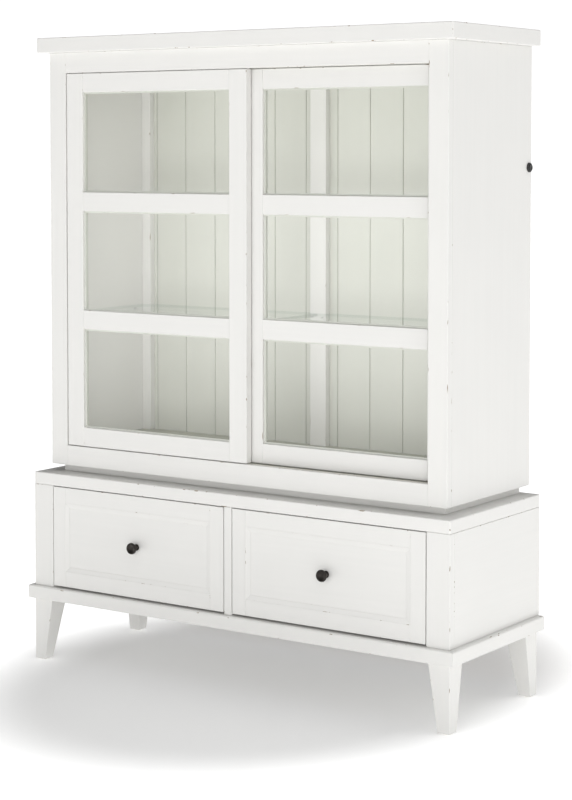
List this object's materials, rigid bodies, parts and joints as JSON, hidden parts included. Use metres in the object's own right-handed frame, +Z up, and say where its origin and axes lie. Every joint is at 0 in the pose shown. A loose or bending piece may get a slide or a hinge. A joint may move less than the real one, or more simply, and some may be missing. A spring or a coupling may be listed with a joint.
{
  "type": "china cabinet",
  "caption": "Painted display hutch with sliding glazed doors and glass shelves, on a drawer base with a moulded plinth and tapered legs.",
  "frame": {"origin": "on the floor under the middle of the whole cabinet's outline, knobs included", "axes": "+X to the cabinet's right as seen from the front, +Y from the doors to the wall, +Z up"},
  "size_m": [1.32, 0.472, 1.674],
  "materials": {
    "white_paint": "satin white paint, lightly rubbed through at the edges",
    "sage_paint": "satin pale sage-grey paint",
    "bare_wood": "clear lacquered pale wood",
    "glass": "clear, polished edges",
    "bronze": "dark oil-rubbed bronze",
    "steel": "bright zinc plate",
    "nylon": "moulded, off-white",
    "black_plastic": "moulded, matte black"
  },
  "bodies": {
    "cabinet": {"crown_top": "white_paint", "hutch_side_left": "white_paint", "hutch_side_right": "white_paint", "hutch_stile_left": "white_paint", "hutch_stile_right": "white_paint", "hutch_rail_top": "white_paint", "hutch_rail_bottom": "white_paint", "hutch_plinth": "white_paint", "base_top": "white_paint", "base_side_left": "white_paint", "base_side_right": "white_paint", "base_stile_left": "white_paint", "base_stile_right": "white_paint", "base_divider": "white_paint", "base_bottom": "white_paint", "base_moulding": "white_paint", "leg_front_left": "white_paint", "leg_front_right": "white_paint", "leg_back_left": "white_paint", "leg_back_right": "white_paint", "hutch_ceiling": "sage_paint", "hutch_floor": "sage_paint", "back_panel": "sage_paint", "center_post": "sage_paint", "back_stile_left": "white_paint", "back_stile_center": "white_paint", "back_stile_right": "white_paint", "base_back": "bare_wood", "glass_shelf_lower_left": "glass", "glass_shelf_lower_right": "glass", "glass_shelf_upper_left": "glass", "glass_shelf_upper_right": "glass", "puck_light_left": "bronze", "puck_light_right": "bronze", "light_switch": "black_plastic", "cord_grommet": "black_plastic"},
    "left_door": {"left_door_frame": "white_paint", "left_door_pane_1": "glass", "left_door_pane_2": "glass", "left_door_pane_3": "glass"},
    "left_wheel_1": {"left_door_wheel_1": "nylon"},
    "left_wheel_2": {"left_door_wheel_2": "nylon"},
    "left_drawer": {"left_drawer_frame": "white_paint", "left_drawer_panel": "white_paint", "left_drawer_box": "bare_wood", "left_knob": "bronze"},
    "left_runner": {"left_runner_outer": "steel", "left_runner_inner": "steel"},
    "right_door": {"right_door_frame": "white_paint", "right_door_pane_1": "glass", "right_door_pane_2": "glass", "right_door_pane_3": "glass"},
    "right_wheel_1": {"right_door_wheel_1": "nylon"},
    "right_wheel_2": {"right_door_wheel_2": "nylon"},
    "right_drawer": {"right_drawer_frame": "white_paint", "right_drawer_panel": "white_paint", "right_drawer_box": "bare_wood", "right_knob": "bronze"},
    "right_runner": {"right_runner_outer": "steel", "right_runner_inner": "steel"}
  },
  "joints": [
    {"name": "left_door_slide", "type": "slide", "parent": "cabinet", "child": "left_door", "axis": [1, 0, 0], "range_m": [0, 0.528]},
    {"name": "left_wheel_1_spin", "type": "hinge", "parent": "left_door", "child": "left_wheel_1", "pos_m": [-0.4745, -0.163, 0.5895], "axis": [0, 1, 0], "range_deg": [0, 3030]},
    {"name": "left_wheel_2_spin", "type": "hinge", "parent": "left_door", "child": "left_wheel_2", "pos_m": [-0.0535, -0.163, 0.5895], "axis": [0, 1, 0], "range_deg": [0, 3030]},
    {"name": "right_door_slide", "type": "slide", "parent": "cabinet", "child": "right_door", "axis": [-1, 0, 0], "range_m": [0, 0.605]},
    {"name": "right_wheel_1_spin", "type": "hinge", "parent": "right_door", "child": "right_wheel_1", "pos_m": [0.092, -0.1375, 0.5895], "axis": [0, -1, 0], "range_deg": [0, 3470]},
    {"name": "right_wheel_2_spin", "type": "hinge", "parent": "right_door", "child": "right_wheel_2", "pos_m": [0.513, -0.1375, 0.5895], "axis": [0, -1, 0], "range_deg": [0, 3470]},
    {"name": "left_drawer_slide", "type": "slide", "parent": "cabinet", "child": "left_drawer", "axis": [0, -1, 0], "range_m": [0, 0.34]},
    {"name": "left_runner_slide", "type": "slide", "parent": "cabinet", "child": "left_runner", "axis": [0, -1, 0], "range_m": [0, 0.17]},
    {"name": "right_drawer_slide", "type": "slide", "parent": "cabinet", "child": "right_drawer", "axis": [0, -1, 0], "range_m": [0, 0.34]},
    {"name": "right_runner_slide", "type": "slide", "parent": "cabinet", "child": "right_runner", "axis": [0, -1, 0], "range_m": [0, 0.17]}
  ],
  "couplings": [
    {"joint": "left_wheel_1_spin", "follows": "left_door_slide", "rad_per_m": 100},
    {"joint": "left_wheel_2_spin", "follows": "left_door_slide", "rad_per_m": 100},
    {"joint": "right_wheel_1_spin", "follows": "right_door_slide", "rad_per_m": 100},
    {"joint": "right_wheel_2_spin", "follows": "right_door_slide", "rad_per_m": 100},
    {"joint": "left_runner_slide", "follows": "left_drawer_slide", "ratio": 0.5},
    {"joint": "right_runner_slide", "follows": "right_drawer_slide", "ratio": 0.5}
  ]
}
